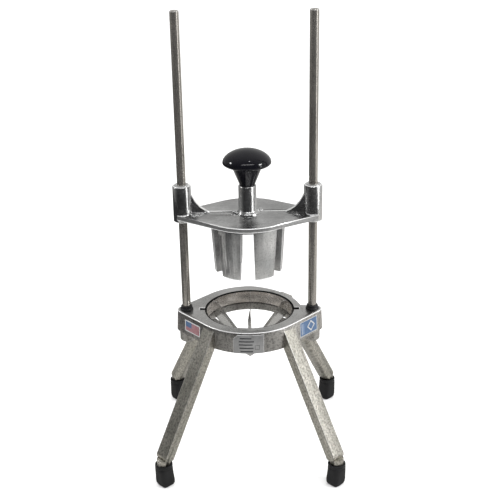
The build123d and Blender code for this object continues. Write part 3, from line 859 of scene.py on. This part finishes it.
def makeKnob(size):
    # a full dome over a shallow underside, then a plain cone down to the waist
    low, crown = (corner.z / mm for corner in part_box("knob"))
    equator = crown - size["rise"]
    turns = [pi / 2 * step / size["arcSteps"] for step in range(size["arcSteps"] + 1)]
    dome = []
    for turn in reversed(turns):
        reach = size["radius"] * abs(cos(turn)) ** size["fullness"] * (turn < pi / 2)  # nothing at the crown
        dome.append((reach, equator + size["rise"] * sin(turn) ** size["fullness"]))
    belly = [(size["neck"] + (size["radius"] - size["neck"]) * cos(turn), equator - size["belly"] * sin(turn))
             for turn in turns[1:]]
    neck = Vector((size["neck"], equator - size["belly"]))
    waist = Vector((size["waist"], crown - size["waistDrop"]))
    stem = [tuple(neck.lerp(waist, step / size["stemSteps"])) for step in range(1, size["stemSteps"] + 1)]
    top = low + size["boreDepth"]
    profile = dome + belly + stem + [(size["foot"], low), (size["bore"], low), (size["bore"], top), (0, top)]
    profile = [(radius * mm, height * mm) for radius, height in profile]
    bm = turned(profile, size["steps"], size["edge"] * mm, size["sharp"])
    finishPiece("pushKnob", bm, "pusher", [blacks["knobPlastic"]], ["knob"], size["smooth"])


makePusherHead(pusherHead, bushing)
makeBushings(bushing)
makePushBlock(pushBlock)
makeKnob(knobShape)
print("pusher made")

# Name plate and wall labels, with plain marks only

namePlate = {
    "width": 33.4 * mm, "thickness": 0.8 * mm, "clip": 4.6 * mm, "edge": 0.22 * mm, "sharp": 60, "segments": 28,
    "ink": 0.05 * mm,
    # left, right and height of each dark bar on the plate, from its middle, in millimetres
    "bars": [(-9.5, 3.0, 7.2), (-10.5, 5.8, 3.4), (-10.5, 4.2, -0.4), (-10.0, 5.2, -4.4), (-9.0, 4.6, -8.4)],
    "barHeight": 1.5, "barSegments": 12,
    # left, right, top and bottom of the empty box, and its line
    "box": (6.8, 12.0, -1.2, -6.2), "boxLine": 0.35, "boxSegments": 6,
}
wallLabels = {
    # width, height, base film, then panels: left, right, bottom, top, corner, film (millimetres from the middle)
    "left": (26.5, 13.3, "whiteFilm", [
        (-12.0, 12.0, -5.4, 5.4, 0.5, "redFilm"), (-12.0, -1.6, -0.9, 5.4, 0.3, "blueFilm")]),
    "right": (29.0, 17.4, "whiteFilm", [
        (-13.8, 13.8, -8.0, 8.0, 0.9, "blueFilm"), (-11.2, -7.4, -6.2, 6.2, 0.4, "paleBlueFilm"),
        (-11.6, -11.0, -6.6, 6.6, 0.1, "whiteFilm")]),
    "film": 0.25 * mm, "ink": 0.03 * mm, "corner": 0.8 * mm,
    "firstLift": 0.4, "nextLift": 0.2,  # how high the panels stand, as parts of the ink
    # half width, film and lift of the squares of the diamond, then their corner and their place
    "diamond": ((4.6 * mm, "whiteFilm", 0.8), (3.3 * mm, "blueFilm", 0.9)),
    "diamondCorner": 0.4 * mm, "diamondShift": 4.0 * mm,
    # the wall touches both rounds and leans by degrees
    "ringRadius": 62.6 * mm, "bossRadius": 10.4 * mm, "draft": 3,
    "slots": {"left": "label_flag", "right": "label_blue"},
}


def filmPanel(left, right, bottom, top, low, high, corner=0.0, columns=1):
    # a thin panel made flat, with rounded corners
    bm = bmesh.new()
    bmesh.ops.create_grid(bm, x_segments=columns, y_segments=1, size=0.5)
    bmesh.ops.scale(bm, verts=bm.verts, vec=(right - left, top - bottom, 1))
    bmesh.ops.translate(bm, verts=bm.verts, vec=((left + right) / 2, (bottom + top) / 2, low))
    if corner:
        tips = [vertex for vertex in bm.verts if len(vertex.link_edges) == 2]
        bmesh.ops.bevel(bm, geom=tips, offset=corner, offset_type="OFFSET", segments=5, profile=0.5,
                        affect="VERTICES", clamp_overlap=True, material=-1)
    raised = bmesh.ops.extrude_face_region(bm, geom=bm.faces)["geom"]
    lifted = [part for part in raised if isinstance(part, bmesh.types.BMVert)]
    bmesh.ops.translate(bm, verts=lifted, vec=(0, 0, high - low))
    bmesh.ops.recalc_face_normals(bm, faces=bm.faces)
    return bm


def addInto(whole, part, index):
    for face in part.faces:
        face.material_index = index
    mesh = bpy.data.meshes.new("part")
    part.to_mesh(mesh)
    part.free()
    whole.from_mesh(mesh)
    bpy.data.meshes.remove(mesh)


def makeNamePlate(size):
    low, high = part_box("name_plate")
    outer = -low.y
    middle = Vector(((low.x + high.x) / 2, 0, (low.z + high.z) / 2))
    halfHeight = (high.z - low.z) / 2
    halfWidth = size["width"] / 2
    thick = size["thickness"]
    bm = filmPanel(-halfWidth, halfWidth, -halfHeight, halfHeight, -thick, 0, columns=size["segments"])
    clipPoint = (-halfWidth + size["clip"], halfHeight, 0)
    cut = bmesh.ops.bisect_plane(bm, geom=bm.verts[:] + bm.edges[:] + bm.faces[:], plane_co=clipPoint,
                                 plane_no=(-1, 1, 0), clear_outer=True)["geom_cut"]
    bmesh.ops.contextual_create(bm, geom=[part for part in cut if isinstance(part, bmesh.types.BMEdge)])
    markWearAndHighlight(bm, bevelEdges(bm, sharpEdges(bm, size["sharp"]), size["edge"])["faces"])
    halfBar = size["barHeight"] / 2
    for left, right, height in size["bars"]:
        bar = filmPanel(left * mm, right * mm, (height - halfBar) * mm, (height + halfBar) * mm, 0, size["ink"],
                        columns=size["barSegments"])
        addInto(bm, bar, 1)
    left, right, top, bottom = (edge * mm for edge in size["box"])
    line = size["boxLine"] * mm
    for frameBar in ((left, right, top - line, top), (left, right, bottom, bottom + line),
                     (left, left + line, bottom + line, top - line),
                     (right - line, right, bottom + line, top - line)):
        addInto(bm, filmPanel(*frameBar, 0, size["ink"], columns=size["boxSegments"]), 1)
    for vertex in bm.verts:  # wrap the flat plate round the ring
        turn = vertex.co.x / outer
        reach = outer + vertex.co.z
        vertex.co = (middle.x + reach * sin(turn), -reach * cos(turn), middle.z + vertex.co.y)
    finishes = [metals["plateMetal"], films["darkInk"]]
    finishPiece("namePlate", bm, "base", finishes, ["name_plate"])


def makeWallLabels(labels):
    draft = radians(labels["draft"])
    lean = acos((labels["ringRadius"] - labels["bossRadius"]) / rodCentre)
    film, ink = labels["film"], labels["ink"]
    face = film / 2 - ink
    for title, name, side in sides:
        width, height, base, panels = labels[name]
        across = Vector((side * sin(lean), cos(lean), 0)) * side
        outward = Vector((side * cos(lean) * cos(draft), -sin(lean) * cos(draft), sin(draft)))
        upward = outward.cross(across)
        low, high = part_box("wall_label_" + name)
        bm = filmPanel(-width / 2 * mm, width / 2 * mm, -height / 2 * mm, height / 2 * mm, -film / 2, face,
                       labels["corner"])
        used = [base]
        for layer, (left, right, bottom, top, corner, panelFilm) in enumerate(panels):
            if panelFilm not in used:
                used.append(panelFilm)
            lift = ink * (labels["firstLift"] + labels["nextLift"] * layer)
            panel = filmPanel(left * mm, right * mm, bottom * mm, top * mm, face, face + lift, corner * mm)
            addInto(bm, panel, used.index(panelFilm))
        if name == "right":  # a plain diamond outline as the printed mark
            for reach, panelFilm, lift in labels["diamond"]:
                markTop = film / 2 - (1 - lift) * ink
                mark = filmPanel(-reach, reach, -reach, reach, face, markTop, labels["diamondCorner"])
                bmesh.ops.rotate(mark, verts=mark.verts, cent=(0, 0, 0), matrix=Matrix.Rotation(pi / 4, 3, "Z"))
                bmesh.ops.translate(mark, verts=mark.verts, vec=(labels["diamondShift"], 0, 0))
                addInto(bm, mark, used.index(panelFilm))
        place = Matrix((across, upward, outward)).transposed().to_4x4()
        place.translation = (low + high) / 2
        bmesh.ops.transform(bm, matrix=place, verts=bm.verts)
        finishes = [films[panelFilm] for panelFilm in used]
        finishPiece("wallLabel" + title, bm, "base", finishes, ["wall_label_" + name])


makeNamePlate(namePlate)
makeWallLabels(wallLabels)
print("plate and labels made")
